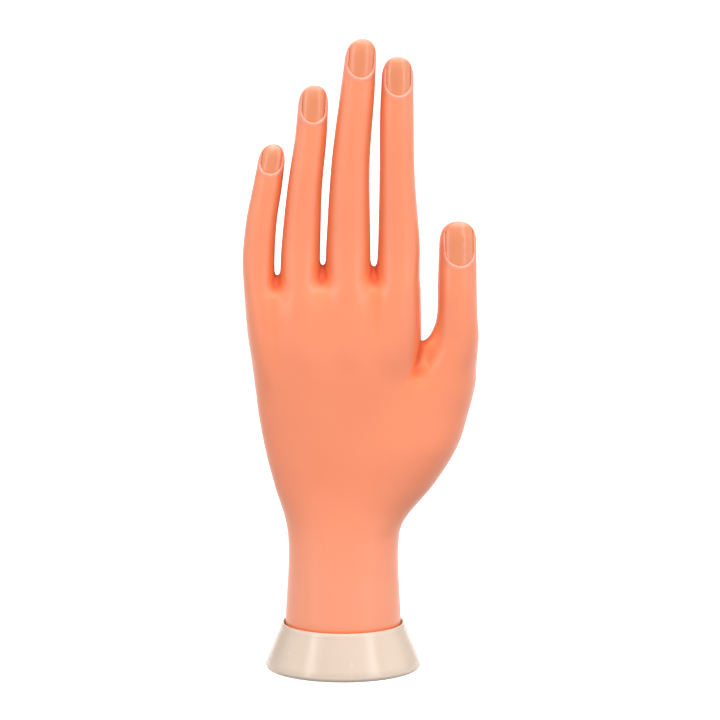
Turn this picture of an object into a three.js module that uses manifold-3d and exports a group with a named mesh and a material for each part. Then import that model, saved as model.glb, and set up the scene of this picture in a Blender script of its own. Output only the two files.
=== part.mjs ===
// A nail practice hand: a soft vinyl left hand with bendable fingers and push-in nails, on an oval stand.
// Millimetres. +Z is up, +X points to the thumb's side and +Y to the palm's side, so the nails face -Y.
// The origin is the centre of the stand's underside. Heights build up from there: the stand, the palm, then
// the lengths of each digit.
import * as THREE from 'three';
import { mergeVertices } from 'three/addons/utils/BufferGeometryUtils.js';
import Module from 'manifold-3d';

const wasm = await Module();
wasm.setup();

// Fits
const SEAT_GAP = 0.3; // round a piece that seats in another
const FAR = 60; // how far a cutting tool reaches past what it cuts

// Main lengths upwards
const STAND_HEIGHT = 17.5;
const PALM_LENGTH = 136; // from the stand's rim to the web beside the middle finger
const PLUG_LENGTH = 38.2; // of the stiff plug in the wrist

// Stand
const STAND_FOOT = { halfWidth: 28.7, back: 23.6, front: 23.6 };
const STAND_FOOT_ROUND = 1.4;
const STAND_ROUND_STEPS = 2;
const STAND_LIP = 0.7; // thickness of the rim round the wrist
const STAND_LIP_ROUND = 0.3;
const STAND_COLLAR = 2.3; // height of the steeper band under the rim
const STAND_COLLAR_FLARE = 0.55; // how far its lower edge stands out
const STAND_SOCKET_DEPTH = 6;
const STAND_DECK = 2.2; // thickness under the wrist
const STAND_SKIRT = 1.8; // thickness round the floor plate
const STAND_LEDGE = 1.4; // what the floor plate seats against
const STAND_FLOOR = 2; // thickness of the floor plate
const STAND_WALL = 2; // of the flank
const STAND_SIDES = 36;
const BOSS_RADIUS = 5.6;
const BOSS_DEPTH = 2;

// Screw that draws the wrist plug down on the deck
const SCREW_RADIUS = 2;
const SCREW_LENGTH = 16;
const SCREW_HEAD_RADIUS = 3.7;
const SCREW_HEAD = 2.3;
const SCREW_CROWN_RADIUS = 3;
const SCREW_CROWN = 0.9; // height of the head's bevel
const SCREW_DRIVE_RADIUS = 1.3;
const SCREW_DRIVE_DEPTH = 1.3;
const ROD_SIDES = 12;

// Palm and wrist. Each rib is a level section at a share of the palm's length: left and right edges, and
// depths on the back and palm sides.
const WRIST = { halfWidth: 21.5, back: 17.5, front: 17.5 };
const PALM_RIBS = [
  { at: 0.02, left: -WRIST.halfWidth, right: WRIST.halfWidth, ...WRIST, square: 2 },
  { at: 0.195, left: -20.4, right: 20.6, back: 16, front: 16.6, square: 2.05 },
  { at: 0.285, left: -21.4, right: 21.8, back: 15, front: 16.2, square: 2.1 },
  { at: 0.385, left: -25.6, right: 25.2, back: 14.3, front: 15.8, square: 2.2 },
  { at: 0.49, left: -29.1, right: 28.4, back: 14, front: 15.2, square: 2.3 },
  { at: 0.605, left: -31.8, right: 29.8, back: 13.6, front: 14.2, square: 2.4 },
  { at: 0.725, left: -33.6, right: 29, back: 12.9, front: 12.8, square: 2.5 },
  { at: 0.8, left: -34.8, right: 28.7, back: 12.1, front: 11.8, square: 2.5 },
  { at: 0.86, left: -35.8, right: 28.5, back: 11.1, front: 11, square: 2.5 },
  { at: 0.91, left: -36.4, right: 28.4, back: 9.9, front: 10.2, square: 2.5 },
  { at: 1, left: -36.8, right: 28, back: 7.2, front: 8.2, square: 2.4 },
];
const PALM_CAP = 7; // length over which the palm rounds off between the fingers
const PALM_CAP_RINGS = 3;
const PALM_CAP_END = 0.94; // share of the rounding that the top ring closes
const WEB_ARCH_RADIUS = 92; // the webs lie on an arch, highest by the middle finger
const WEB_ARCH_CENTRE = 5;
const WEB_ARCH_FROM = 0.755; // share of the palm's length where the sections begin to follow it
const PALM_SIDES = 28;
const FILLING_SIDES = 16; // of what is under the skin
const PALM_STEP = 14; // between sections of the loft

// Inside the palm
const SKIN_WALL = 2.6;
const CORE_COVER = 15.5; // solid skin between the soft core and the webs

// Armature
const WIRE_RADIUS = 1.25;
const WIRE_SIDES = 8;
const WIRE_END_STEPS = 2;
const BEND_GAP = 0.5; // between a wire's ball end and the cup of the next
const WIRE_SEAT_DEPTH = 12; // in the wrist plug
const WIRE_SPACING = 5.6; // across the wrist plug
const WIRE_END_COVER = 6; // soft vinyl left beyond the last wire

// Bends: the soft skin between two stiff lengths folds here
const FOLD_WAIST = 0.8; // half the fold's thickness on the bend's axis
const FOLD_SPARE_DEG = 1.5;
const FINGER_TURNS = { root: [-20, 70], mid: [-10, 75], tip: [-10, 45] };
const THUMB_TURNS = { root: [-20, 50], tip: [-15, 50] };
const LENGTH_BEYOND = { root: 'proximal', mid: 'middle', tip: 'distal' };

// Fingers. Depth follows width: these are depth over half width.
const BACK_DEPTH = 0.98;
const FRONT_DEPTH = 0.98;
const PAD_BACK_DEPTH = 0.86; // at the nail
const PAD_FRONT_DEPTH = 0.9;
const DIGIT_SQUARE = 2.15;
const DIGIT_SIDES = 14;
const DIGIT_STEP = 11.5;
const TIP_DOME = 9; // length of the rounded fingertip
const TIP_DOME_SQUARE = 2.35;
const TIP_DOME_RINGS = 4;
const TIP_DOME_END = 0.35; // of a ring, left flat at the very tip

// Each digit's bends from the palm outwards, then its tip. The first rises from the palm's top, and each of
// the others from the one before it. The stub runs down from the first bend into the palm.
const DIGITS = [
  {
    name: 'thumb',
    turns: THUMB_TURNS,
    bends: [
      { name: 'root', x: 42.6, y: 0.5, rise: -19.5, halfWidth: 7.4 },
      { name: 'tip', x: 42.6, y: 1.4, rise: 14, halfWidth: 7.1 },
    ],
    tip: { x: 43.4, y: 2.6, rise: 21.8 },
    padHalfWidth: 6.9,
    stub: [
      { below: 84, x: 4.8, y: 0.5, halfWidth: 12.5, back: 11.5, front: 12.5 },
      { below: 72.4, x: 9.6, y: 1, halfWidth: 16.6, back: 11.6, front: 12.8 },
      { below: 63.2, x: 15.2, y: 1.6, halfWidth: 18.8, back: 13.6, front: 16 },
      { below: 49.4, x: 22.6, y: 2.2, halfWidth: 20, back: 14.2, front: 16.4 },
      { below: 35.6, x: 28.2, y: 2.8, halfWidth: 19, back: 13.8, front: 15.2 },
      { below: 26.4, x: 32.4, y: 3, halfWidth: 17, back: 12.2, front: 12.8 },
      { below: 17, x: 37.2, y: 2.6, halfWidth: 13, back: 10.2, front: 10.4 },
      { below: 8, x: 41.2, y: 1.4, halfWidth: 9.3, back: 8.6, front: 8.4 },
    ],
    nail: { width: 10.4, length: 15, roll: 10 },
  },
  {
    name: 'index',
    turns: FINGER_TURNS,
    bends: [
      { name: 'root', x: 20.8, y: -0.6, rise: 9.5, halfWidth: 7.8 },
      { name: 'mid', x: 20.1, y: -0.2, rise: 26, halfWidth: 6.6 },
      { name: 'tip', x: 20, y: 1.2, rise: 23, halfWidth: 6.25 },
    ],
    tip: { x: 20.4, y: 2.4, rise: 21 },
    padHalfWidth: 5.95,
    stub: [
      { below: 60, x: 15.4, halfWidth: 5, back: 6, front: 4.5 },
      { below: 43, x: 17.7, halfWidth: 7, back: 11.2, front: 7.2 },
      { below: 34, x: 19, halfWidth: 7.7, back: 11.4, front: 7.8 },
      { below: 25, x: 19.9, halfWidth: 8.1, back: 10.8, front: 8.2 },
      { below: 8, x: 20.6, halfWidth: 8, back: 8.8, front: 8.3 },
    ],
    nail: { width: 9.1, length: 12.9, roll: 6 },
  },
  {
    name: 'middle',
    turns: FINGER_TURNS,
    bends: [
      { name: 'root', x: 2, y: -0.8, rise: 10.5, halfWidth: 8.2 },
      { name: 'mid', x: 2.8, y: 0, rise: 29, halfWidth: 7.15 },
      { name: 'tip', x: 5.2, y: 1.6, rise: 25.5, halfWidth: 6.45 },
    ],
    tip: { x: 7.2, y: 2.8, rise: 21.5 },
    padHalfWidth: 5.9,
    stub: [
      { below: 61, x: 1.3, halfWidth: 5, back: 6, front: 4.5 },
      { below: 44, x: 1.6, halfWidth: 7.2, back: 11.9, front: 7.4 },
      { below: 35, x: 1.7, halfWidth: 7.6, back: 12.2, front: 8 },
      { below: 26, x: 1.8, halfWidth: 8, back: 11.6, front: 8.4 },
      { below: 9, x: 1.9, halfWidth: 8.4, back: 9, front: 8.5 },
    ],
    nail: { width: 9.2, length: 12.9, roll: 5 },
  },
  {
    name: 'ring',
    turns: FINGER_TURNS,
    bends: [
      { name: 'root', x: -15.6, y: -0.4, rise: 9.5, halfWidth: 7.2 },
      { name: 'mid', x: -14.2, y: 0.4, rise: 21, halfWidth: 6.45 },
      { name: 'tip', x: -12, y: 1.8, rise: 18.5, halfWidth: 5.9 },
    ],
    tip: { x: -10.5, y: 3, rise: 19.8 },
    padHalfWidth: 5.6,
    stub: [
      { below: 60, x: -11, halfWidth: 5, back: 6, front: 4.5 },
      { below: 44, x: -13.6, halfWidth: 6.6, back: 11.4, front: 7.2 },
      { below: 35, x: -14.6, halfWidth: 7, back: 11.7, front: 7.8 },
      { below: 26, x: -15.3, halfWidth: 7.3, back: 10.9, front: 8.2 },
      { below: 9, x: -15.9, halfWidth: 7.4, back: 8.4, front: 8 },
    ],
    nail: { width: 8.5, length: 12.2, roll: 4 },
  },
  {
    name: 'little',
    turns: FINGER_TURNS,
    bends: [
      { name: 'root', x: -31.5, y: 0.4, rise: 4, halfWidth: 5.95 },
      { name: 'mid', x: -30.3, y: 1.1, rise: 14, halfWidth: 5.6 },
      { name: 'tip', x: -28.2, y: 2.3, rise: 12, halfWidth: 5.35 },
    ],
    tip: { x: -25.8, y: 3.3, rise: 16 },
    padHalfWidth: 5.1,
    stub: [
      { below: 60, x: -22, halfWidth: 3.5, back: 5, front: 4 },
      { below: 44.5, x: -27.6, halfWidth: 5, back: 9.8, front: 6.6 },
      { below: 35.5, x: -29, halfWidth: 5.1, back: 10, front: 7 },
      { below: 26.5, x: -30.2, halfWidth: 5.5, back: 9.4, front: 7.2 },
      { below: 8.5, x: -31.4, halfWidth: 5.7, back: 6.9, front: 6.6 },
    ],
    nail: { width: 7.4, length: 9.3, roll: -4 },
  },
].map(raised);

// Nails
const NAIL_THICKNESS = 0.7;
const NAIL_TUCK = 1.8; // length hidden under the cuticle
const NAIL_SETBACK = 0.6; // from the fingertip
const NAIL_RECESS = 0.45; // below the skin round it
const CUTICLE_ROUND = 0.85; // depth of the nail's ends over half its width
const FREE_EDGE_ROUND = 0.75;
const NAIL_SEGMENTS = 4;
const NAIL_BAR_SPREAD_DEG = 78; // either way from the middle, well past the nail's edges
const NAIL_CLEARANCE = 15; // cut free above the nail

// Smooth curve through [place, value] stations, level beyond its ends.
function through(stations) {
  const last = stations.length - 1;
  const slopes = stations.map((_, i) => {
    const [a, b] = [stations[Math.max(i - 1, 0)], stations[Math.min(i + 1, last)]];
    return (b[1] - a[1]) / (b[0] - a[0]);
  });
  return (place) => {
    if (place <= stations[0][0]) return stations[0][1];
    if (place >= stations[last][0]) return stations[last][1];
    const i = stations.findIndex((s) => s[0] > place) - 1;
    const span = stations[i + 1][0] - stations[i][0];
    const t = (place - stations[i][0]) / span;
    const [t2, t3] = [t * t, t * t * t];
    return (
      (2 * t3 - 3 * t2 + 1) * stations[i][1] +
      (t3 - 2 * t2 + t) * span * slopes[i] +
      (3 * t2 - 2 * t3) * stations[i + 1][1] +
      (t3 - t2) * span * slopes[i + 1]
    );
  };
}

// One smooth curve for each named size of a list of ribs that have a height z.
function ribCurves(ribs, sizes) {
  const curves = sizes.map((size) => [size, through(ribs.map((rib) => [rib.z, rib[size]]))]);
  return (z) => Object.fromEntries([['z', z], ...curves.map(([size, curve]) => [size, curve(z)])]);
}

function signedPower(value, power) {
  return Math.sign(value) * Math.abs(value) ** power;
}

// A level closed section, rounder or squarer with its exponent, wider or narrower by grow.
function section(rib, sides, grow = 0) {
  const power = 2 / (rib.square ?? DIGIT_SQUARE);
  return Array.from({ length: sides }, (_, i) => {
    const angle = (2 * Math.PI * i) / sides;
    const depth = (Math.sin(angle) < 0 ? rib.back : rib.front) + grow;
    return new THREE.Vector3(
      rib.x + (rib.halfWidth + grow) * signedPower(Math.cos(angle), power),
      (rib.y ?? 0) + depth * signedPower(Math.sin(angle), power),
      rib.z,
    );
  });
}

// Closed skin over sections that rise from first to last.
function loft(sections) {
  const sides = sections[0].length;
  const points = sections.flat();
  const middle = (ring) => ring.reduce((sum, p) => sum.add(p), new THREE.Vector3()).divideScalar(sides);
  const [low, high] = [points.length, points.length + 1];
  points.push(middle(sections[0]), middle(sections[sections.length - 1]));
  const faces = [];
  for (let side = 0; side < sides; side++) {
    const next = (side + 1) % sides;
    faces.push(low, next, side);
    for (let ring = 0; ring < sections.length - 1; ring++) {
      const [here, above] = [ring * sides, (ring + 1) * sides];
      faces.push(here + side, here + next, above + next, here + side, above + next, above + side);
    }
    const top = (sections.length - 1) * sides;
    faces.push(high, top + side, top + next);
  }
  return new THREE.BufferGeometry().setFromPoints(points).setIndex(faces);
}

function solidOf(geometry) {
  const bare = geometry.clone();
  bare.deleteAttribute('normal');
  bare.deleteAttribute('uv');
  const merged = mergeVertices(bare, 1e-4);
  return new wasm.Manifold(
    new wasm.Mesh({
      numProp: 3,
      vertProperties: new Float32Array(merged.attributes.position.array),
      triVerts: new Uint32Array(merged.index.array),
    }),
  );
}

function geometryOf(solid) {
  const mesh = solid.getMesh();
  const points = new Float32Array(mesh.numVert * 3);
  for (let i = 0; i < mesh.numVert; i++) {
    points.set(mesh.vertProperties.subarray(i * mesh.numProp, i * mesh.numProp + 3), i * 3);
  }
  const geometry = new THREE.BufferGeometry().setAttribute('position', new THREE.BufferAttribute(points, 3));
  geometry.setIndex(new THREE.BufferAttribute(mesh.triVerts, 1));
  geometry.computeVertexNormals();
  return geometry;
}

function union(solids) {
  return solids.reduce((all, solid) => all.add(solid));
}

// Heights from low to high, with no step longer than the one asked for, that keep every fixed height.
function heights(fixed, step) {
  return fixed.flatMap((z, i) => {
    if (i === fixed.length - 1) return [z];
    const steps = Math.max(1, Math.ceil((fixed[i + 1] - z) / step));
    return Array.from({ length: steps }, (_, k) => z + ((fixed[i + 1] - z) * k) / steps);
  });
}

// Palm and wrist
const wristEnd = STAND_HEIGHT - STAND_SOCKET_DEPTH + SEAT_GAP;
const plugTop = wristEnd + PLUG_LENGTH;
const palmTop = palmHeight(1);
const coreTop = palmTop - CORE_COVER;
const palmRibs = PALM_RIBS.map((rib) => ({ ...rib, z: palmHeight(rib.at) }));
const palmSizes = ribCurves(palmRibs, ['left', 'right', 'back', 'front', 'square']);

function palmHeight(share) {
  return STAND_HEIGHT + share * PALM_LENGTH;
}

// The palm's section at a height, drawn in towards its middle where the palm rounds off.
function palmRib(z) {
  const rib = palmSizes(z);
  const cap = Math.max(0, z - palmTop + PALM_CAP) / PALM_CAP;
  const share = Math.sqrt(1 - Math.min(cap, PALM_CAP_END) ** 2);
  return {
    ...rib,
    x: (rib.left + rib.right) / 2,
    halfWidth: (share * (rib.right - rib.left)) / 2,
    back: share * rib.back,
    front: share * rib.front,
  };
}

// Level sections low down, that bow with the arch of the webs towards the knuckles.
function palmSection(z, sides, grow) {
  const share = THREE.MathUtils.smoothstep(z, palmHeight(WEB_ARCH_FROM), palmTop);
  return section(palmRib(z), sides, grow).map((p) => {
    p.z -= (share * (p.x - WEB_ARCH_CENTRE) ** 2) / (2 * WEB_ARCH_RADIUS);
    return p;
  });
}

function palmLoft() {
  const capFrom = palmTop - PALM_CAP;
  const kept = palmRibs.map((rib) => rib.z).filter((z) => z > wristEnd && z < capFrom);
  const levels = heights([wristEnd, ...kept, capFrom], PALM_STEP);
  for (let i = 1; i <= PALM_CAP_RINGS; i++) {
    levels.push(capFrom + PALM_CAP * Math.sin((Math.PI / 2) * (i / PALM_CAP_RINGS)));
  }
  return solidOf(loft(levels.map((z) => palmSection(z, PALM_SIDES, 0))));
}

// The hollow of the wrist and palm, or what fills it, at some depth under the surface.
function palmHollow(top, depth) {
  const levels = heights([wristEnd - SEAT_GAP, top], PALM_STEP);
  return solidOf(loft(levels.map((z) => palmSection(z, FILLING_SIDES, -depth))));
}

// Digits
const DIGIT_SIZES = ['x', 'y', 'halfWidth', 'back', 'front'];

// A digit with the heights of its bends, its tip and its stub worked out.
function raised(digit) {
  let z = STAND_HEIGHT + PALM_LENGTH;
  const bends = digit.bends.map((bend) => {
    z += bend.rise;
    return { ...bend, z };
  });
  return {
    ...digit,
    bends,
    tip: { ...digit.tip, z: z + digit.tip.rise },
    stub: digit.stub.map((rib) => ({ y: bends[0].y, ...rib, z: bends[0].z - rib.below })),
  };
}

function digitRibs(digit) {
  const bends = digit.bends.map((bend) => ({
    ...bend,
    back: bend.halfWidth * BACK_DEPTH,
    front: bend.halfWidth * FRONT_DEPTH,
  }));
  const last = bends[bends.length - 1];
  const padZ = digit.tip.z - TIP_DOME;
  const share = (padZ - last.z) / (digit.tip.z - last.z);
  const pad = {
    x: THREE.MathUtils.lerp(last.x, digit.tip.x, share),
    y: THREE.MathUtils.lerp(last.y, digit.tip.y, share),
    z: padZ,
    halfWidth: digit.padHalfWidth,
    back: digit.padHalfWidth * PAD_BACK_DEPTH,
    front: digit.padHalfWidth * PAD_FRONT_DEPTH,
  };
  return [...digit.stub, ...bends, pad];
}

// The whole digit, from deep inside the palm to its rounded tip.
function digitLoft(digit) {
  const ribs = digitRibs(digit);
  const sizes = ribCurves(ribs, DIGIT_SIZES);
  const pad = ribs[ribs.length - 1];
  const rings = heights([ribs[0].z, pad.z], DIGIT_STEP).map(sizes);
  for (let i = 1; i <= TIP_DOME_RINGS; i++) {
    const angle = (Math.PI / 2) * (i / (TIP_DOME_RINGS + TIP_DOME_END));
    const [along, across] = [Math.sin(angle), Math.cos(angle) ** (2 / TIP_DOME_SQUARE)];
    rings.push({
      x: THREE.MathUtils.lerp(pad.x, digit.tip.x, along),
      y: THREE.MathUtils.lerp(pad.y, digit.tip.y, along),
      z: pad.z + TIP_DOME * along,
      halfWidth: pad.halfWidth * across,
      back: pad.back * across,
      front: pad.front * across,
    });
  }
  return solidOf(loft(rings.map((rib) => section(rib, DIGIT_SIDES))));
}

function placeOf({ x, y, z }) {
  return new THREE.Vector3(x, y, z);
}

// A wedge across a digit at a bend, waisted on the bend's axis, that opens as wide as the bend turns.
function foldWedge(bend, turns, grow = 0) {
  const [backwards, forwards] = turns.map((turn) =>
    Math.tan(THREE.MathUtils.degToRad(Math.abs(turn) / 2 + FOLD_SPARE_DEG)),
  );
  const reach = 2 * bend.halfWidth;
  const waist = FOLD_WAIST + grow;
  const shape = new THREE.Shape([
    new THREE.Vector2(-reach, -waist - reach * backwards),
    new THREE.Vector2(0, -waist),
    new THREE.Vector2(reach, -waist - reach * forwards),
    new THREE.Vector2(reach, waist + reach * forwards),
    new THREE.Vector2(0, waist),
    new THREE.Vector2(-reach, waist + reach * backwards),
  ]);
  const wedge = new THREE.ExtrudeGeometry(shape, { depth: 2 * reach, bevelEnabled: false });
  wedge.rotateX(Math.PI / 2).rotateZ(Math.PI / 2);
  return solidOf(wedge.translate(bend.x - reach, bend.y, bend.z));
}

// The lengths between a digit's folds, from its root in the palm outwards.
function stiffLengths(digit, body) {
  const folds = union(digit.bends.map((bend) => foldWedge(bend, digit.turns[bend.name])));
  const lowest = (solid) => solid.boundingBox().min[2];
  return body.subtract(folds).decompose().sort((a, b) => lowest(a) - lowest(b));
}

// Turned solid whose axis runs from one place towards another. Its profile is [radius, distance along] pairs.
function turned(profile, from, to, sides) {
  const points = profile.map(([radius, along]) => new THREE.Vector2(radius, along));
  const geometry = new THREE.LatheGeometry(points, sides);
  const way = to.clone().sub(from).normalize();
  geometry.applyQuaternion(new THREE.Quaternion().setFromUnitVectors(new THREE.Vector3(0, 1, 0), way));
  return solidOf(geometry.translate(from.x, from.y, from.z));
}

function rod(radius, from, to, sides) {
  const length = from.distanceTo(to);
  return turned([[0, 0], [radius, 0], [radius, length], [0, length]], from, to, sides);
}

// A quarter of a circle about a centre on the axis, from its widest point to the axis.
function quarterRound(radius, centre) {
  return Array.from({ length: WIRE_END_STEPS + 1 }, (_, i) => {
    const angle = (Math.PI / 2) * (i / WIRE_END_STEPS);
    return [i === WIRE_END_STEPS ? 0 : radius * Math.cos(angle), centre + radius * Math.sin(angle)];
  });
}

// Wire with a ball end centred on the place it runs to. It starts flat, or as a cup round another's ball.
function wire(from, to, { cup }) {
  const hollow = WIRE_RADIUS + BEND_GAP;
  const rim = Math.sqrt(hollow ** 2 - WIRE_RADIUS ** 2);
  const cupped = [[0, hollow], [WIRE_RADIUS, rim]];
  const flat = [[0, 0], [WIRE_RADIUS, 0]];
  const ball = quarterRound(WIRE_RADIUS, from.distanceTo(to));
  return turned([...(cup ? cupped : flat), ...ball], from, to, WIRE_SIDES);
}

// What a digit's wires need cut out of the pieces round them: a flat-sided channel, mitred at each bend.
function wireChannel(stops) {
  const radius = (WIRE_RADIUS + SEAT_GAP) / Math.cos(Math.PI / WIRE_SIDES);
  const ways = stops.slice(1).map((stop, i) => stop.clone().sub(stops[i]).normalize());
  const last = ways.length;
  const rings = stops.map((stop, i) => {
    const way = ways[Math.max(i - 1, 0)].clone().add(ways[Math.min(i, last - 1)]).normalize();
    const right = new THREE.Vector3(1, 0, 0).addScaledVector(way, -way.x).normalize();
    const away = way.clone().cross(right);
    const past = i === 0 ? -SEAT_GAP : Number(i === last) * radius;
    return Array.from({ length: WIRE_SIDES }, (_, side) => {
      const angle = (2 * Math.PI * side) / WIRE_SIDES;
      const point = stop.clone().addScaledVector(way, past);
      point.addScaledVector(right, radius * Math.cos(angle));
      return point.addScaledVector(away, radius * Math.sin(angle));
    });
  });
  return solidOf(loft(rings));
}

// The nail lies in its own axes: x across, y into the finger, z towards the free edge, origin at the cuticle.
function nailPlace(digit) {
  const sizes = ribCurves(digitRibs(digit), DIGIT_SIZES);
  const cuticle = sizes(digit.tip.z - NAIL_SETBACK - digit.nail.length);
  const pad = sizes(digit.tip.z - TIP_DOME);
  const roll = THREE.MathUtils.degToRad(digit.nail.roll);
  const topOf = (rib) =>
    new THREE.Vector3(0, NAIL_RECESS - rib.back, 0)
      .applyAxisAngle(new THREE.Vector3(0, 0, 1), roll)
      .add(placeOf(rib));
  const way = topOf(pad).sub(topOf(cuticle)).normalize();
  const across = new THREE.Vector3(Math.cos(roll), Math.sin(roll), 0);
  across.addScaledVector(way, -across.dot(way)).normalize();
  const place = new THREE.Matrix4().makeBasis(across, way.clone().cross(across), way);
  return { matrix: place.setPosition(topOf(cuticle)), way, arch: pad.halfWidth ** 2 / pad.back };
}

// Prism of the nail's outline from root to free edge, seen from the back of the finger.
function nailOutline(width, from, to) {
  const half = width / 2;
  const [rootRound, edgeRound] = [half * CUTICLE_ROUND, half * FREE_EDGE_ROUND];
  const shape = new THREE.Shape();
  shape.absellipse(0, from + rootRound, half, rootRound, Math.PI, 2 * Math.PI);
  shape.absellipse(0, to - edgeRound, half, edgeRound, 0, Math.PI);
  const prism = new THREE.ExtrudeGeometry(shape, {
    depth: FAR,
    bevelEnabled: false,
    curveSegments: NAIL_SEGMENTS,
  });
  prism.translate(0, 0, -FAR / 2);
  return solidOf(prism.rotateX(Math.PI / 2));
}

// Bar with the nail's arched cross-section between two radii, along the nail's length.
function archedBar(inner, outer, arch, from, to) {
  const spread = THREE.MathUtils.degToRad(NAIL_BAR_SPREAD_DEG);
  const shape = new THREE.Shape();
  shape.absarc(0, arch, outer, -Math.PI / 2 - spread, -Math.PI / 2 + spread, false);
  shape.absarc(0, arch, inner, -Math.PI / 2 + spread, -Math.PI / 2 - spread, true);
  const bar = new THREE.ExtrudeGeometry(shape, {
    depth: to - from,
    bevelEnabled: false,
    curveSegments: 2 * NAIL_SEGMENTS,
  });
  return solidOf(bar.translate(0, 0, from));
}

function nailPlate({ nail }, { matrix, arch }) {
  const bar = archedBar(arch - NAIL_THICKNESS, arch, arch, -NAIL_TUCK, nail.length);
  return bar.intersect(nailOutline(nail.width, -NAIL_TUCK, nail.length)).transform(matrix.elements);
}

// The bed that the nail lies on, open to the back and the fingertip, with a slot on under the cuticle.
function nailPocket({ nail }, { matrix, arch }) {
  const width = nail.width + 2 * SEAT_GAP;
  const bed = arch - NAIL_THICKNESS - SEAT_GAP;
  const open = archedBar(bed, arch + NAIL_CLEARANCE, arch, -NAIL_TUCK - SEAT_GAP, FAR);
  const slot = archedBar(bed, arch + SEAT_GAP, arch, -NAIL_TUCK - SEAT_GAP, FAR);
  return union([
    open.intersect(nailOutline(width, 0, FAR)),
    slot.intersect(nailOutline(width, -NAIL_TUCK - SEAT_GAP, FAR)),
  ]).transform(matrix.elements);
}

// Stand: an oval cone with a socket for the wrist above and a floor plate below.
const RIM_REACH = SEAT_GAP + STAND_LIP; // from the wrist to the rim's outside
const deckTop = STAND_HEIGHT - STAND_SOCKET_DEPTH;
const deckUnder = deckTop - STAND_DECK;
const screwSeat = deckUnder - BOSS_DEPTH;

function oval(outline, z, grow) {
  return section({ ...outline, x: 0, z, square: 2 }, STAND_SIDES, grow);
}

// The cone's straight flank, from the foot's rounding up to the collar under the rim.
function flank(z, grow) {
  const share = (z - STAND_FOOT_ROUND) / (STAND_HEIGHT - STAND_COLLAR - STAND_FOOT_ROUND);
  const sizes = Object.keys(STAND_FOOT).map((size) => [
    size,
    THREE.MathUtils.lerp(STAND_FOOT[size], WRIST[size] + RIM_REACH + STAND_COLLAR_FLARE, share),
  ]);
  return oval(Object.fromEntries(sizes), z, grow);
}

function ovalPlug(outline, grow, from, to) {
  return solidOf(loft([oval(outline, from, grow), oval(outline, to, grow)]));
}

function uprightRod(radius, from, to) {
  return rod(radius, new THREE.Vector3(0, 0, from), new THREE.Vector3(0, 0, to), ROD_SIDES);
}

function standShell() {
  const round = STAND_FOOT_ROUND;
  const foot = Array.from({ length: STAND_ROUND_STEPS + 1 }, (_, i) => {
    const angle = (Math.PI / 2) * (i / STAND_ROUND_STEPS);
    return oval(STAND_FOOT, round * (1 - Math.cos(angle)), round * (Math.sin(angle) - 1));
  });
  const outside = loft([
    ...foot,
    flank(STAND_HEIGHT - STAND_COLLAR, 0),
    oval(WRIST, STAND_HEIGHT - STAND_LIP_ROUND, RIM_REACH),
    oval(WRIST, STAND_HEIGHT, RIM_REACH - STAND_LIP_ROUND),
  ]);
  const hollow = loft([
    oval(STAND_FOOT, STAND_FLOOR, -round - STAND_SKIRT - STAND_LEDGE),
    flank(deckUnder, -STAND_WALL),
  ]);
  return solidOf(outside)
    .subtract(ovalPlug(WRIST, SEAT_GAP, deckTop, FAR))
    .subtract(ovalPlug(STAND_FOOT, -round - STAND_SKIRT, -FAR, STAND_FLOOR + SEAT_GAP))
    .subtract(solidOf(hollow))
    .add(uprightRod(BOSS_RADIUS, screwSeat, deckUnder + STAND_DECK / 2))
    .subtract(uprightRod(SCREW_RADIUS + SEAT_GAP, 0, FAR));
}

function standFloor() {
  return ovalPlug(STAND_FOOT, -STAND_FOOT_ROUND - STAND_SKIRT - SEAT_GAP, 0, STAND_FLOOR);
}

// Round-headed screw, driven from below into the wrist plug.
function standScrew() {
  const top = screwSeat - SEAT_GAP;
  const profile = [
    [0, top - SCREW_HEAD + SCREW_DRIVE_DEPTH],
    [SCREW_DRIVE_RADIUS, top - SCREW_HEAD + SCREW_DRIVE_DEPTH],
    [SCREW_DRIVE_RADIUS, top - SCREW_HEAD],
    [SCREW_CROWN_RADIUS, top - SCREW_HEAD],
    [SCREW_HEAD_RADIUS, top - SCREW_HEAD + SCREW_CROWN],
    [SCREW_HEAD_RADIUS, top],
    [SCREW_RADIUS, top],
    [SCREW_RADIUS, top + SCREW_LENGTH - SCREW_RADIUS],
    [0, top + SCREW_LENGTH],
  ];
  return turned(profile, new THREE.Vector3(), new THREE.Vector3(0, 0, 1), ROD_SIDES);
}

// Everything that a digit is made of. Its stops are its wires' ends and bends, from the wrist plug outwards.
function digitParts(digit, index) {
  const places = digit.bends.map(placeOf);
  const spread = ((DIGITS.length - 1) / 2 - index) * WIRE_SPACING;
  const seat = new THREE.Vector3(spread, 0, plugTop - WIRE_SEAT_DEPTH);
  const last = places[places.length - 1];
  const tip = placeOf(digit.tip);
  const end = tip.clone().sub(last).setLength(tip.distanceTo(last) - WIRE_END_COVER).add(last);
  const stops = [seat, ...places, end];
  const body = digitLoft(digit);
  const [root, ...lengths] = stiffLengths(digit, body);
  return { stops, channel: wireChannel(stops), body, root, lengths, nail: nailPlace(digit) };
}

const parts = new Map(DIGITS.map((digit, index) => [digit, digitParts(digit, index)]));
const channels = union([...parts.values()].map((part) => part.channel));

// Soft skin of the palm and wrist with the digits' roots, hollow for the core and the plug.
function palmSkin() {
  const roots = [...parts.values()].map((part) => part.root);
  return union([palmLoft(), ...roots])
    .subtract(palmHollow(coreTop, SKIN_WALL))
    .subtract(channels);
}

function palmCore() {
  return palmHollow(coreTop - SEAT_GAP, SKIN_WALL + SEAT_GAP)
    .intersect(uprightRod(FAR, plugTop + SEAT_GAP, coreTop))
    .subtract(channels);
}

function wristPlug() {
  return palmHollow(coreTop, SKIN_WALL + SEAT_GAP)
    .intersect(uprightRod(FAR, wristEnd, plugTop))
    .subtract(channels)
    .subtract(uprightRod(SCREW_RADIUS + SEAT_GAP, 0, screwSeat + SCREW_LENGTH));
}

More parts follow.
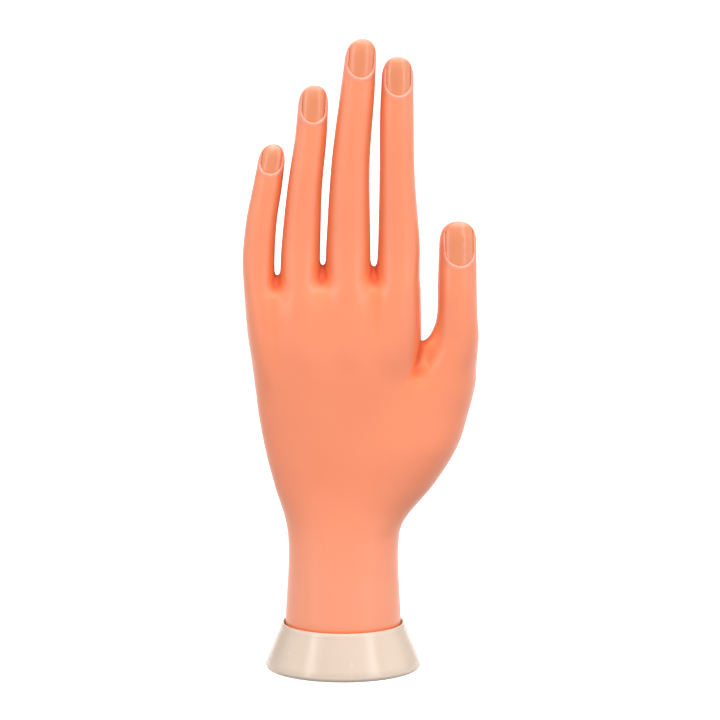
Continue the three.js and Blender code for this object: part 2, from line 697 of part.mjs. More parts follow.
function material(color, roughness, metalness = 0) {
  return new THREE.MeshStandardMaterial({ color, roughness, metalness });
}

const SKIN = material(0xf7a57c, 0.5);
const NAIL = material(0xe9a07c, 0.2);
const STAND = material(0xefe0d0, 0.25);
const CORE = material(0xe8d9b8, 0.9);
const PLUG = material(0xd9d4c8, 0.5);
const WIRE = material(0xb9bcc0, 0.4, 1);
const SCREW = material(0x9a9da1, 0.35, 1);

// A mesh is placed from the turning point of the group that holds it.
function piece(name, solid, finish, turning = new THREE.Vector3()) {
  const geometry = geometryOf(solid).translate(-turning.x, -turning.y, -turning.z);
  const mesh = new THREE.Mesh(geometry, finish);
  mesh.name = name;
  return mesh;
}

// Scene graph: each digit is a chain of groups, one at each bend, so that turning a group bends the digit.
const hand = new THREE.Group();
hand.add(
  piece('stand_shell', standShell(), STAND),
  piece('stand_floor', standFloor(), STAND),
  piece('stand_screw', standScrew(), SCREW),
  piece('wrist_plug', wristPlug(), PLUG),
  piece('palm_core', palmCore(), CORE),
  piece('palm_skin', palmSkin(), SKIN),
);

for (const [digit, { stops, channel, body, lengths, nail }] of parts) {
  let carrier = hand;
  let turning = new THREE.Vector3();
  carrier.add(piece(`${digit.name}_root_wire`, wire(stops[0], stops[1], { cup: false }), WIRE));
  digit.bends.forEach((bend, i) => {
    const fold = body.intersect(foldWedge(bend, digit.turns[bend.name], -SEAT_GAP)).subtract(channel);
    carrier.add(piece(`${digit.name}_${bend.name}_fold`, fold, SKIN, turning));
    const next = new THREE.Group();
    next.position.copy(stops[i + 1]).sub(turning);
    carrier.add(next);
    [carrier, turning] = [next, stops[i + 1]];
    const skin = i === lengths.length - 1 ? lengths[i].subtract(nailPocket(digit, nail)) : lengths[i];
    const label = `${digit.name}_${LENGTH_BEYOND[bend.name]}`;
    carrier.add(
      piece(`${label}_skin`, skin.subtract(channel), SKIN, turning),
      piece(`${label}_wire`, wire(stops[i + 1], stops[i + 2], { cup: true }), WIRE, turning),
    );
  });
  carrier.add(piece(`${digit.name}_nail`, nailPlate(digit, nail), NAIL, turning));
}

export default hand;
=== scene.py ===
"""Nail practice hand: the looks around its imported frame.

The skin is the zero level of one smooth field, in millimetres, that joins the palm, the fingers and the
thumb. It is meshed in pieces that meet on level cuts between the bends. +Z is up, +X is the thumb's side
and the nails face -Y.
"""

import itertools
import math

import bmesh
import bpy
import numpy as np
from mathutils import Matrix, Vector


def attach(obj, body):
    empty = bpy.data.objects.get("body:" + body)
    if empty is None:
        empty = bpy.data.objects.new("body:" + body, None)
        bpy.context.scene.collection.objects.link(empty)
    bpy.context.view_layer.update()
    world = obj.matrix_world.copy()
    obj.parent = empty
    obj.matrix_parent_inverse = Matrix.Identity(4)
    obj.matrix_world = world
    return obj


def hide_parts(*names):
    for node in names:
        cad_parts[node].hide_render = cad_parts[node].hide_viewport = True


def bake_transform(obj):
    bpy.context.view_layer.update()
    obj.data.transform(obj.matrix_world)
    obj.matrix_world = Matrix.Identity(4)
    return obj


MM = 0.001
LEAST, TINY = 1e-3, 1e-9  # keep divisions off zero

# Palm and wrist: height, left, right, depth on the back, depth on the palm side, squareness
PALM_RIBS = [
    (20, -21.5, 21.5, 17.5, 17.5, 2.0),
    (44, -20.4, 20.6, 14.9, 16.6, 2.05),
    (56, -21.4, 21.8, 13.5, 16.2, 2.1),
    (70, -25.6, 25.4, 12.5, 15.8, 2.2),
    (84, -29.1, 28.6, 12.5, 15.2, 2.3),
    (100, -31.9, 29.8, 12.8, 14.2, 2.4),
    (116, -33.2, 29.0, 13.1, 12.8, 2.5),
    (126, -33.5, 28.6, 13.0, 11.8, 2.5),
    (134, -33.4, 28.0, 12.2, 11.0, 2.5),
    (141, -33.2, 27.2, 10.8, 10.2, 2.5),
    (147, -33.0, 26.8, 8.4, 9.2, 2.4),
    (153, -32.6, 26.2, 4.6, 7.6, 2.3),
]
PALM_TOP, PALM_BOTTOM = 153.4, 11.9
PALM_CAP = 7.0  # height of the rounding at its top
RIM_TOP = 17.5  # of the stand, round the wrist
# Painted shade along the wrist where it enters the stand's rim: its strength and its reach in height
WRIST_SHADE, WRIST_REACH = 0.5, 0.8  # of the dark line where the wrist enters the stand
WEB_ARCH = (5.0, 125.0, 120.0)  # centre, radius, height where the sections begin to bow
PALM_JOIN = 4.5  # width of the soft corner between a finger and the palm
# Such widths by height, of the thumb with the palm and of each finger with the next
THUMB_JOIN = ((60, 3.0), (85, 6.5), (110, 6.0), (122, 3.0))
FINGER_JOIN = ((110, 1.5), (128, 4.0), (138, 5.0), (146, 4.2), (153, 1.6))

DIGIT_SQUARE = 2.15  # squareness of a digit's sections
DOME_SQUARE = 2.4  # of the dome that ends it
NEAR_ENDS, NEAR_SIDES = 12, 14  # how far past a digit its field is worked out
FAR = 40.0  # its value beyond

# Spine: height, x, y, half width, depth on the back, depth on the palm side. Its last row is the pad under
# the nail. Tip: x, y, height. Nail: width, length, roll in degrees. Bends: height of the cut that starts the
# piece, height of the axis, half the length that bends.
DIGITS = {
    "thumb": {
        "spine": [
            (38, 2.5, 0.3, 5.0, 4.0, 4.0),
            (50, 4.8, 0.5, 12.0, 10.5, 12.0),
            (61.6, 9.6, 1.0, 17.0, 11.6, 13.8),
            (70.8, 15.2, 1.8, 19.2, 12.8, 16.0),
            (84.6, 22.6, 3.0, 20.2, 14.1, 16.0),
            (98.4, 28.2, 4.6, 19.0, 14.2, 13.6),
            (107.6, 33.0, 5.4, 16.4, 14.0, 10.8),
            (115, 37.4, 5.0, 12.4, 12.7, 8.8),
            (121, 40.4, 3.8, 9.9, 11.1, 7.8),
            (127, 42.0, 2.0, 8.6, 9.0, 7.4),
            (134, 42.5, 0.5, 7.65, 7.4, 7.3),
            (148, 42.5, 1.4, 7.3, 7.7, 7.0),
            (161.4, 42.65, 2.1, 7.0, 6.0, 6.3),
        ],
        "tip": (42.8, 2.0, 170.6),
        "nail": (10.4, 15.9, 10.0),
        "bends": [(128.5, 134, 5.5), (141.2, 148, 5.2)],
    },
    "index": {
        "spine": [
            (100, 14.5, 0.0, 3.5, 3.0, 3.0),
            (112, 16.6, -0.4, 5.8, 7.0, 6.0),
            (119, 17.8, -0.6, 6.8, 9.4, 7.2),
            (126, 18.2, -0.6, 8.6, 10.4, 7.6),
            (132, 19.0, -0.6, 8.9, 10.6, 8.0),
            (139, 19.6, -0.6, 8.8, 10.5, 8.2),
            (147, 20.2, -0.6, 8.3, 10.1, 8.4),
            (155, 20.6, -0.6, 8.0, 8.8, 8.3),
            (163, 20.8, -0.6, 7.8, 7.64, 7.64),
            (189, 20.1, -0.2, 6.6, 6.47, 6.47),
            (212, 20.0, 1.2, 6.3, 6.17, 6.17),
            (224, 20.23, 1.89, 6.0, 5.16, 5.4),
        ],
        "tip": (20.4, 2.4, 233.3),
        "nail": (8.9, 13.9, 6.0),
        "bends": [(155.4, 163, 7.4), (176, 189, 7.0), (201, 212, 5.0)],
    },
    "middle": {
        "spine": [
            (100, 1.2, 0.0, 3.5, 3.0, 3.0),
            (112, 1.4, -0.5, 6.0, 7.0, 6.0),
            (119, 1.6, -0.8, 7.0, 9.4, 7.4),
            (126, 1.7, -0.8, 9.0, 10.5, 7.8),
            (132, 1.8, -0.8, 9.2, 10.8, 8.2),
            (139, 1.8, -0.8, 9.1, 10.7, 8.4),
            (147, 1.9, -0.8, 8.7, 10.4, 8.6),
            (155, 1.9, -0.8, 8.4, 9.1, 8.5),
            (164, 2.0, -0.8, 8.2, 8.04, 8.04),
            (193, 2.8, 0.0, 7.15, 7.0, 7.0),
            (218.5, 5.2, 1.6, 6.45, 6.32, 6.32),
            (231, 6.36, 2.3, 5.95, 5.11, 5.35),
        ],
        "tip": (7.2, 2.8, 240.0),
        "nail": (9.2, 13.8, 5.0),
        "bends": [(156, 164, 7.8), (178.6, 193, 7.5), (206, 218.5, 5.2)],
    },
    "ring": {
        "spine": [
            (100, -9.5, 0.0, 3.5, 3.0, 3.0),
            (112, -12.4, -0.3, 5.6, 7.0, 6.0),
            (118, -13.6, -0.4, 6.4, 9.2, 7.2),
            (125, -14.6, -0.4, 8.2, 10.3, 7.6),
            (131, -15.1, -0.4, 8.3, 10.5, 8.0),
            (138, -15.4, -0.4, 8.2, 10.2, 8.2),
            (146, -15.7, -0.4, 7.8, 9.8, 8.2),
            (154, -15.9, -0.4, 7.4, 8.5, 8.0),
            (163, -15.6, -0.4, 7.2, 7.06, 7.06),
            (184, -14.2, 0.4, 6.45, 6.32, 6.32),
            (202.5, -12.0, 1.8, 5.95, 5.83, 5.83),
            (213.3, -11.2, 2.45, 5.7, 4.9, 5.13),
        ],
        "tip": (-10.6, 3.0, 222.3),
        "nail": (8.4, 13.3, 4.0),
        "bends": [(155.8, 163, 7.0), (173.6, 184, 6.7), (194, 202.5, 4.8)],
    },
    "little": {
        "spine": [
            (94, -19.0, 0.2, 2.5, 2.5, 2.5),
            (106, -25.0, 0.2, 4.2, 6.0, 5.0),
            (113, -27.0, 0.4, 4.4, 8.4, 6.6),
            (120, -28.4, 0.4, 4.9, 9.4, 6.9),
            (127, -29.0, 0.4, 6.0, 9.6, 7.1),
            (134, -29.7, 0.4, 6.3, 9.2, 7.2),
            (141, -30.3, 0.4, 6.3, 8.4, 7.0),
            (149, -31.2, 0.4, 6.0, 7.0, 6.6),
            (157.5, -31.4, 0.4, 6.0, 5.88, 5.88),
            (171.5, -30.25, 1.1, 5.75, 5.64, 5.64),
            (183.5, -28.15, 2.3, 5.45, 5.34, 5.34),
            (190.8, -27.0, 2.74, 5.15, 4.43, 4.64),
        ],
        "tip": (-25.8, 3.3, 199.8),
        "nail": (7.4, 10.6, -4.0),
        "bends": [(151.6, 157.5, 5.8), (164.6, 171.5, 5.7), (178.4, 183.5, 4.2)],
    },
}
LENGTHS = dict.fromkeys(DIGITS, ["proximal", "middle", "distal"]) | {"thumb": ["proximal", "distal"]}
BEND_NAMES = dict.fromkeys(DIGITS, ["root", "mid", "tip"]) | {"thumb": ["root", "tip"]}

# The thumb's web, from its bottom up to its free edge
WEB_LEFT, WEB_RIGHT, WEB_BOTTOM = 22.0, 37.0, 96.0
WEB_EDGE, WEB_EDGE_AT, WEB_EDGE_SLOPE = 124.9, 29.0, 0.4  # height at this x, and rise for each step of x
WEB_CURL, WEB_CURL_FROM = 0.22, 30.0  # how the free edge turns up into the thumb
# Depth at the free edge, how fast it grows downwards and its most, on the back and on the palm side
WEB_BACK, WEB_BACK_RAMP, WEB_BACK_MOST = 3.0, 0.42, 6.0
WEB_FRONT, WEB_FRONT_RAMP, WEB_FRONT_MOST = 3.2, 0.6, 8.5
WEB_ROUND, WEB_JOIN = 2.0, 1.4  # of its own edges, and of its soft corner with the hand

# Painted shade in the corners: the ways that are tried round each point, their lean and how far they reach
SHADE_WAYS, SHADE_LEAN, SHADE_REACHES = 6, math.radians(52), (3.0, 10.0)
HOLLOWS = ((2.0, 1.0), (4.5, 1.5))  # reach and weight of the shade in narrow and in wide valleys
HOLLOW_MOST = 0.4

# Nails
NAIL_THICKNESS = 0.7
NAIL_TUCK = 1.3  # of the root, under the cuticle
NAIL_REACH = 0.7  # past the fingertip
NAIL_RECESS = 0.29  # below the finger's back
NAIL_DROOP, DROOP_FROM = 1.1, 0.45  # of the free end, and the share of the length where it begins
CUTICLE_ROUND = 1.0  # length of the rounding at the root, in half widths of the nail
FREE_EDGE_ROUND = 0.9  # the same at the free end
NAIL_GAP = 0.03
NAIL_EDGE, UNDER_EDGE = 0.16, 0.1  # rounding of the nail's edge, and the bevel under it
NAIL_CENTRE = 0.4  # how near the middle its rings begin
NAIL_ARC, NAIL_STRAIGHT = 36, 12  # points of a ring round each end and along each side
NAIL_RINGS, NAIL_EDGE_RINGS = 12, 5
RIM_HEIGHT = 0.37  # of the cuticle, highest at the nail's edge
RIM_WIDTH = 1.6
# Painted highlight on the cuticle's lip: a paler colour, which also clears this share of the painted shade
RIM_CLEAR = 0.85  # share of the shade that the cuticle's paler colour takes away
RIM_FLARE = 1.2  # how far the cuticle's inner side leans back for each step up
RIM_DEPTHS = (-4.0, -1.0)  # from the nail's level: where the cuticle begins and where it is whole
RIM_ENDS, RIM_COLOUR_ENDS = (0.6, 1.02), (0.85, 1.1)  # where it and its colour fade, in nail lengths
# Deeper orange along the nail's root and sides: partly the skin seen through the plate, partly painted shade
# under the cuticle's lip
ROOT_BAND = 0.5  # width of the deeper colour along the nail's root and sides
ROOT_BAND_ENDS = (0.55, 0.95)  # where it fades, in nail lengths
FREE_BAND = (2.2, 0.6)  # how far from the free end the paler colour begins and is whole
# The nail's bed: how far it stays inside the nail's outline and short of its end, its depth and soft corner
BED_INSET, BED_SHORT, BED_DEPTH, BED_JOIN = 0.35, 0.7, 4.0, 0.8
POCKET_ROUND, SLOT_ROUND = 0.4, 0.1  # of the edges of the nail's place and of the slot for its root

# Colours
OPEN_SKIN = ((0.65, 0.191, 0.092), (0.67, 0.2, 0.098))
# Painted light: the skin grows paler down the wrist
WRIST_PAINTED_LIGHT, WRIST_LIGHT_HEIGHTS = (0.66, 0.226, 0.124), (0.034, 0.074)  # whole below the first height, in metres
# Painted shade: the skin turns warmer, then deeper red, as the shade attribute grows in corners, creases and
# valleys
PAINTED_WARM_SHADE, WARM_SHADES = (0.7, 0.15, 0.044), (0.1, 0.46)  # the shades between which it comes in
PAINTED_DEEP_SHADE, DEEP_SHADES = (0.5, 0.062, 0.014), (0.46, 0.95)
# Painted highlight on the cuticle's lip round the nail
PAINTED_CUTICLE_HIGHLIGHT = (0.7, 0.245, 0.17)
NAIL_BODY = ((0.525, 0.172, 0.077), (0.545, 0.183, 0.085))
# The root's colour is partly the skin seen through the plate and partly painted shade under the cuticle's
# lip
NAIL_FREE_END, NAIL_ROOT_TINT_AND_SHADE = (0.68, 0.27, 0.16), (0.62, 0.15, 0.045)
STAND_CREAM = ((0.48, 0.378, 0.3), (0.52, 0.411, 0.333))
FOAM_YELLOW = ((0.78, 0.7, 0.5), (0.86, 0.79, 0.6))
PLUG_GREY = ((0.66, 0.63, 0.56), (0.7, 0.67, 0.6))
WIRE_GREY = ((0.5, 0.5, 0.52), (0.62, 0.62, 0.63))
STEEL_GREY = ((0.42, 0.42, 0.43), (0.52, 0.52, 0.52))

COARSE = 1.0
PALM_STEP = 0.7 * COARSE
LENGTH_STEP = 0.5 * COARSE
TIP_STEP = 0.28 * COARSE
CUT_BAND = 4  # steps on each side of a cut in which faces are split
PALM_GRID = ((-41, -21), (53, 22))  # x and y of the corners of the palm's grid
GRID_SIDES, GRID_ENDS = 1.6, 1.5  # how far a digit's grid reaches past it
PAST_END = 2  # how far a grid's height reaches past the skin's last cut or the tip
ALL_X = (-60, 60)
ROOT_BOUNDS = (-60, -24.6, -7.1, 11.6, 30.6, 60)  # x between the digits' roots, from the little finger


def through(places, values):
    """A smooth curve through values at places, level beyond its ends."""
    places, values = np.array(places, float), np.array(values, float)
    slopes = np.empty_like(values)
    slopes[1:-1] = (values[2:] - values[:-2]) / (places[2:] - places[:-2])
    slopes[0] = (values[1] - values[0]) / (places[1] - places[0])
    slopes[-1] = (values[-1] - values[-2]) / (places[-1] - places[-2])

    def at(place):
        place = np.clip(place, places[0], places[-1])
        i = np.clip(np.searchsorted(places, place, side="right") - 1, 0, len(places) - 2)
        span = places[i + 1] - places[i]
        t = (place - places[i]) / span
        return (
            (2 * t**3 - 3 * t**2 + 1) * values[i]
            + (t**3 - 2 * t**2 + t) * span * slopes[i]
            + (3 * t**2 - 2 * t**3) * values[i + 1]
            + (t**3 - t**2) * span * slopes[i + 1]
        )

    return at


def smooth(value, low, high):
    t = np.clip((value - low) / (high - low), 0, 1)
    return t * t * (3 - 2 * t)


def column(dx, dy, width, depth, square, rise, cap, dome_square=2.0):
    """Roughly the distance to a superelliptic column that closes in a dome."""
    across_x, across_y = np.abs(dx) / width, np.abs(dy) / depth
    across = np.maximum((across_x**square + across_y**square) ** (1 / square), LEAST)
    tilt = np.hypot(across_x ** (square - 1) / width, across_y ** (square - 1) / depth)
    slope = across ** (1 - square) * tilt
    gauge = (across**dome_square + rise**dome_square) ** (1 / dome_square)
    steep = gauge ** (1 - dome_square) * np.hypot(
        across ** (dome_square - 1) * slope, rise ** (dome_square - 1) / cap
    )
    return (gauge - 1) / np.maximum(steep, LEAST)


def joined(a, b, width):
    near = np.maximum(width - np.abs(a - b), 0) / width
    return np.minimum(a, b) - near * near * width / 4


def carved(a, b, width):
    """a without b, with a soft edge."""
    return -joined(-a, b, width)


palm_sizes = [through([rib[0] for rib in PALM_RIBS], [rib[i] for rib in PALM_RIBS]) for i in range(1, 6)]


def palm_field(x, y, z):
    centre, radius, start = WEB_ARCH
    level = z + smooth(z, start, PALM_TOP) * (x - centre) ** 2 / (2 * radius)
    left, right, back, front, square = (size(level) for size in palm_sizes)
    rise = np.maximum(level - (PALM_TOP - PALM_CAP), 0) / PALM_CAP
    depth = np.where(y < 0, back, front)
    return column(x - (left + right) / 2, y, (right - left) / 2, depth, square, rise, PALM_CAP)


def spine_curves(digit):
    spine = digit["spine"]
    return [through([row[0] for row in spine], [row[i] for row in spine]) for i in range(1, 6)]


for digit in DIGITS.values():
    digit["sizes"] = spine_curves(digit)


def digit_field(digit, x, y, z):
    pad, tip = digit["spine"][-1], digit["tip"]
    centre_x, centre_y, width, back, front = (size(z) for size in digit["sizes"])
    rise = np.maximum(z - pad[0], 0) / (tip[2] - pad[0])
    lean = np.minimum(rise, 1)
    centre_x = centre_x + lean * (tip[0] - pad[1])
    centre_y = centre_y + lean * (tip[1] - pad[2])
    dy = y - centre_y
    depth = np.where(dy < 0, back, front)
    return column(x - centre_x, dy, width, depth, DIGIT_SQUARE, rise, tip[2] - pad[0], DOME_SQUARE)


def near_field(digit, x, y, z):
    """The digit's field where it matters, and a far value elsewhere."""
    result = np.full(x.shape, FAR)
    spine = digit["spine"]
    near = (z > spine[0][0] - NEAR_ENDS) & (z < digit["tip"][2] + NEAR_ENDS)
    near &= np.abs(x - digit["sizes"][0](z)) < digit["sizes"][2](z) + NEAR_SIDES
    result[near] = digit_field(digit, x[near], y[near], z[near])
    return result


thumb_join = through(*zip(*THUMB_JOIN))
finger_join = through(*zip(*FINGER_JOIN))


def web_field(x, y, z):
    """The skin between the palm and the thumb: it thickens to both sides from a rounded free edge."""
    curl = np.maximum(x - WEB_CURL_FROM, 0)
    steep = np.sqrt(1 + (WEB_EDGE_SLOPE + 2 * WEB_CURL * curl) ** 2)
    below_edge = (z - WEB_EDGE - WEB_EDGE_SLOPE * (x - WEB_EDGE_AT) - WEB_CURL * curl**2) / steep
    down = np.maximum(-below_edge, 0)
    back = np.minimum(WEB_BACK + WEB_BACK_RAMP * down, WEB_BACK_MOST)
    front = np.minimum(WEB_FRONT + WEB_FRONT_RAMP * down, WEB_FRONT_MOST)
    faces = carved(carved(below_edge, back + y, WEB_ROUND), front - y, WEB_ROUND)
    return np.maximum.reduce([faces, WEB_LEFT - x, x - WEB_RIGHT, WEB_BOTTOM - z])


def hand_field(names):
    """The field of the palm with these digits."""
    fingers = [DIGITS[n] for n in names if n != "thumb"]

    def field(points):
        x, y, z = points.T
        body = palm_field(x, y, z)
        if fingers:
            grown = near_field(fingers[0], x, y, z)
            for digit in fingers[1:]:
                grown = joined(grown, near_field(digit, x, y, z), finger_join(z))
            body = joined(body, grown, PALM_JOIN)
        if "thumb" in names:
            body = joined(body, near_field(DIGITS["thumb"], x, y, z), thumb_join(z))
            body = joined(body, web_field(x, y, z), WEB_JOIN)
        return body

    return field


def nail_frame(digit):
    """The nail's place: its cuticle, the ways across, into and along the finger, and its arch's radius."""
    length, roll = digit["nail"][1], math.radians(digit["nail"][2])
    pad = digit["spine"][-1]

    def top(z):
        x, y, _, back, _ = (float(size(z)) for size in digit["sizes"])
        drop = NAIL_RECESS - back
        return np.array([x - drop * math.sin(roll), y + drop * math.cos(roll), z])

    origin = top(digit["tip"][2] + NAIL_REACH - length)
    way = top(pad[0]) - origin
    way /= np.linalg.norm(way)
    across = np.array([math.cos(roll), math.sin(roll), 0.0])
    across -= across @ way * way
    across /= np.linalg.norm(across)
    return {
        "origin": origin,
        "axes": np.stack([across, np.cross(way, across), way]),
        "arch": pad[3] ** 2 / pad[4],
    }


for digit in DIGITS.values():
    digit["frame"] = nail_frame(digit)


def nail_top(digit, u, v):
    """Depth of the nail's upper face below the cuticle's level."""
    length, arch = digit["nail"][1], digit["frame"]["arch"]
    along = np.clip((v - DROOP_FROM * length) / ((1 - DROOP_FROM) * length), 0, 1.5)
    return arch - np.sqrt(np.maximum(arch**2 - u**2, 0.2)) + NAIL_DROOP * along**2


def outline(digit, u, v, tuck, grow, closed=True):
    """Roughly the distance to the nail's outline, seen from above."""
    width, length, _ = digit["nail"]
    half = width / 2
    root_round, edge_round = half * CUTICLE_ROUND, half * FREE_EDGE_ROUND
    low = np.maximum(root_round - tuck - v, 0) / root_round
    high = np.maximum(v - (length - edge_round), 0) / edge_round if closed else 0 * v
    end = low + high
    gauge = np.maximum(np.hypot(u / half, end), LEAST)
    slope = np.hypot(u / half**2, end / np.where(high > 0, edge_round, root_round)) / gauge
    return (gauge - 1) / np.maximum(slope, 0.05) - grow


def cuticle(digit, points, ends=RIM_ENDS):
    """How far up the cuticle's rim each point is, from 0 to 1. It fades between these nail lengths."""
    length = digit["nail"][1]
    u, deep, v = digit["frame"]["axes"] @ (points - digit["frame"]["origin"]).T
    rim = np.exp(-((np.maximum(outline(digit, u, v, 0, 0), 0) / RIM_WIDTH) ** 2))
    return rim * smooth(-deep, *RIM_DEPTHS) * (1 - smooth(v, ends[0] * length, ends[1] * length))


def tip_field(name):
    """The fingertip with its cuticle, its nail bed and the slot that the nail's root slides into."""
    digit = DIGITS[name]
    frame, length = digit["frame"], digit["nail"][1]
    under = NAIL_THICKNESS + NAIL_GAP / 2

    def field(points):
        x, y, z = points.T
        body = digit_field(digit, x, y, z)
        u, deep, v = frame["axes"] @ (points - frame["origin"]).T
        below = deep - nail_top(digit, u, v)
        body = body - RIM_HEIGHT * cuticle(digit, points)
        inset = outline(digit, u, v, 0, -BED_INSET)
        bed = np.maximum.reduce([under - below, inset, below - BED_DEPTH, v - length + BED_SHORT])
        body = joined(body, bed, BED_JOIN)
        flare = RIM_FLARE * np.maximum(-below - NAIL_EDGE, 0)
        pocket = np.maximum(below - under, outline(digit, u, v, 0, NAIL_GAP, closed=False) - flare)
        body = carved(body, pocket, POCKET_ROUND)
        slot = np.maximum(
            np.abs(below - NAIL_THICKNESS / 2) - under + NAIL_THICKNESS / 2,
            outline(digit, u, v, NAIL_TUCK + NAIL_GAP, NAIL_GAP, closed=False),
        )
        return carved(body, slot, SLOT_ROUND)

    return field


def surface_net(field, low, high, step):
    """Quads over the field's zero level, with a point in each cell that it crosses."""
    low = np.array(low, float)
    counts = np.ceil((np.array(high) - low) / step).astype(int) + 1
    axes = [low[i] + step * np.arange(counts[i]) for i in range(3)]
    grid = np.stack(np.meshgrid(*axes, indexing="ij"), -1).reshape(-1, 3)
    value = field(grid).reshape(counts)
    inside = value < 0
    spans = itertools.product((slice(0, -1), slice(1, None)), repeat=3)
    corners = np.stack([inside[span] for span in spans])
    mixed = corners.any(0) & ~corners.all(0)
    cells = np.argwhere(mixed)
    number = np.full(mixed.shape, -1)
    number[mixed] = np.arange(len(cells))
    total, count = np.zeros((len(cells), 3)), np.zeros(len(cells))
    faces = []
    for axis in range(3):
        u, w = (axis + 1) % 3, (axis + 2) % 3
        for a, b in itertools.product((0, 1), repeat=2):
            start = cells.copy()
            start[:, u] += a
            start[:, w] += b
            end = start.copy()
            end[:, axis] += 1
            first, second = value[tuple(start.T)], value[tuple(end.T)]
            crossed = (first < 0) != (second < 0)
            share = np.where(crossed, first / np.where(crossed, first - second, 1), 0)
            place = start.astype(float)
            place[:, axis] += share
            total += place * crossed[:, None]
            count += crossed
        here, there = [slice(None)] * 3, [slice(None)] * 3
        here[axis], there[axis] = slice(0, -1), slice(1, None)
        starts_inside = inside[tuple(here)]
        edges = np.argwhere(starts_inside != inside[tuple(there)])
        kept = (edges[:, [u, w]] > 0).all(1) & (edges[:, u] < counts[u] - 1) & (edges[:, w] < counts[w] - 1)
        edges = edges[kept]
        quad = []
        for a, b in ((-1, -1), (0, -1), (0, 0), (-1, 0)):
            cell = edges.copy()
            cell[:, u] += a
            cell[:, w] += b
            quad.append(number[tuple(cell.T)])
        quad = np.stack(quad, 1)
        flipped = ~starts_inside[tuple(edges.T)]
        quad[flipped] = quad[flipped][:, ::-1]
        faces.append(quad)
    return low + step * total / count[:, None], np.concatenate(faces)


def gradient(field, points, reach=0.04):
    result = np.empty_like(points)
    for axis in range(3):
        shift = np.zeros(3)
        shift[axis] = reach
        result[:, axis] = (field(points + shift) - field(points - shift)) / (2 * reach)
    return result


def settled(field, points, step, times=3):
    """Points moved onto the zero level, by half a step at most each time."""
    for _ in range(times):
        slope = gradient(field, points)
        move = slope * (field(points) / np.maximum((slope**2).sum(1), 0.2))[:, None]
        size = np.linalg.norm(move, axis=1, keepdims=True)
        points = points - move * np.minimum(1, step / 2 / np.maximum(size, TINY))
    return points


def unit(ways):
    return ways / np.maximum(np.linalg.norm(ways, axis=1, keepdims=True), TINY)


def shade_of(field, points, normals):
    """How shut in each point is, from 0 in the open to about 1 in a deep corner or a narrow valley. It is
    painted into the skin's colour as shade.
    """
    helper = np.where(np.abs(normals[:, 2:]) < 0.8, (0.0, 0.0, 1.0), (1.0, 0.0, 0.0))
    side = unit(np.cross(normals, helper))
    other = np.cross(normals, side)
    turns = [2 * math.pi * k / SHADE_WAYS for k in range(SHADE_WAYS)]
    arounds = [side * math.cos(turn) + other * math.sin(turn) for turn in turns]
    ways = [(normals, 1.0)]
    for around in arounds:
        ways.append((normals * math.cos(SHADE_LEAN) + around * math.sin(SHADE_LEAN), math.cos(SHADE_LEAN)))
    total = 0
    for way, open_share in ways:
        for reach in SHADE_REACHES:
            total = total + np.clip(1 - field(points + way * reach) / (reach * open_share), 0, 1)
    shade = total / (len(ways) * len(SHADE_REACHES))
    for reach, weight in HOLLOWS:
        level = sum(field(points + around * reach) for around in arounds) / (reach * SHADE_WAYS)
        shade = shade + weight * np.clip(-level, 0, HOLLOW_MOST)
    return shade


def wrist_painted_shade(points):
    """The painted shade in the narrow corner that the wrist makes with the stand's rim."""
    return WRIST_SHADE * np.exp(-(((points[:, 2] - RIM_TOP) / WRIST_REACH) ** 2))


def put_attribute(mesh, name, values):
    mesh.attributes.new(name, "FLOAT", "POINT").data.foreach_set("value", np.asarray(values, np.float32))


def link(name, mesh, material):
    mesh.materials.append(material)
    obj = bpy.data.objects.new(name, mesh)
    bpy.context.scene.collection.objects.link(obj)
    return obj


def cut_level(bm, step, height, above, left, right):
    """Cuts a mesh at a height, in a span of x, and keeps what is above it or what is below."""

    def in_span():
        return [f for f in bm.faces if left < f.calc_center_median().x < right]

    near = [f for f in in_span() if abs(f.calc_center_median().z - height) < CUT_BAND * step]
    edges = {e for f in near for e in f.edges}
    verts = {v for f in near for v in f.verts}
    bmesh.ops.bisect_plane(
        bm, geom=[*near, *edges, *verts], dist=1e-5, plane_co=(0, 0, height), plane_no=(0, 0, 1)
    )
    beyond = [f for f in in_span() if (f.calc_center_median().z > height) != above]
    bmesh.ops.delete(bm, geom=beyond, context="FACES")


def skin_piece(name, field, low, high, step, cuts, shade_field, rim_of=None):
    """A closed piece of skin. Each cut is a height, whether what is above stays, and a span of x."""
    points, faces = surface_net(field, low, high, step)
    points = settled(field, points, step)
    mesh = bpy.data.meshes.new(name)
    mesh.from_pydata(points, [], faces)
    bm = bmesh.new()
    bm.from_mesh(mesh)
    for cut in cuts:
        cut_level(bm, step, *cut)
    bmesh.ops.holes_fill(bm, edges=[e for e in bm.edges if e.is_boundary], sides=0)
    bm.to_mesh(mesh)
    bm.free()
    places = np.empty(len(mesh.vertices) * 3)
    mesh.vertices.foreach_get("co", places)
    places = places.reshape(-1, 3)
    normals = unit(gradient(field, places))
    rim = rim_of(places) if rim_of else np.zeros(len(places))
    # Painted shade: how shut in each point is, kept for the skin's colour. The cuticle's painted highlight
    # takes some away, and the wrist's painted shade line is added.
    shade = shade_of(shade_field, places, normals) * (1 - RIM_CLEAR * rim)
    put_attribute(mesh, "shade", np.maximum(shade, wrist_painted_shade(places)))
    put_attribute(mesh, "rim", rim)
    mesh.vertices.foreach_set("co", (places * MM).ravel())
    mesh.polygons.foreach_set("use_smooth", np.ones(len(mesh.polygons), bool))
    mesh.update()
    mesh.normals_split_custom_set_from_vertices(normals)
    obj = link(name, mesh, SKIN)
    return obj


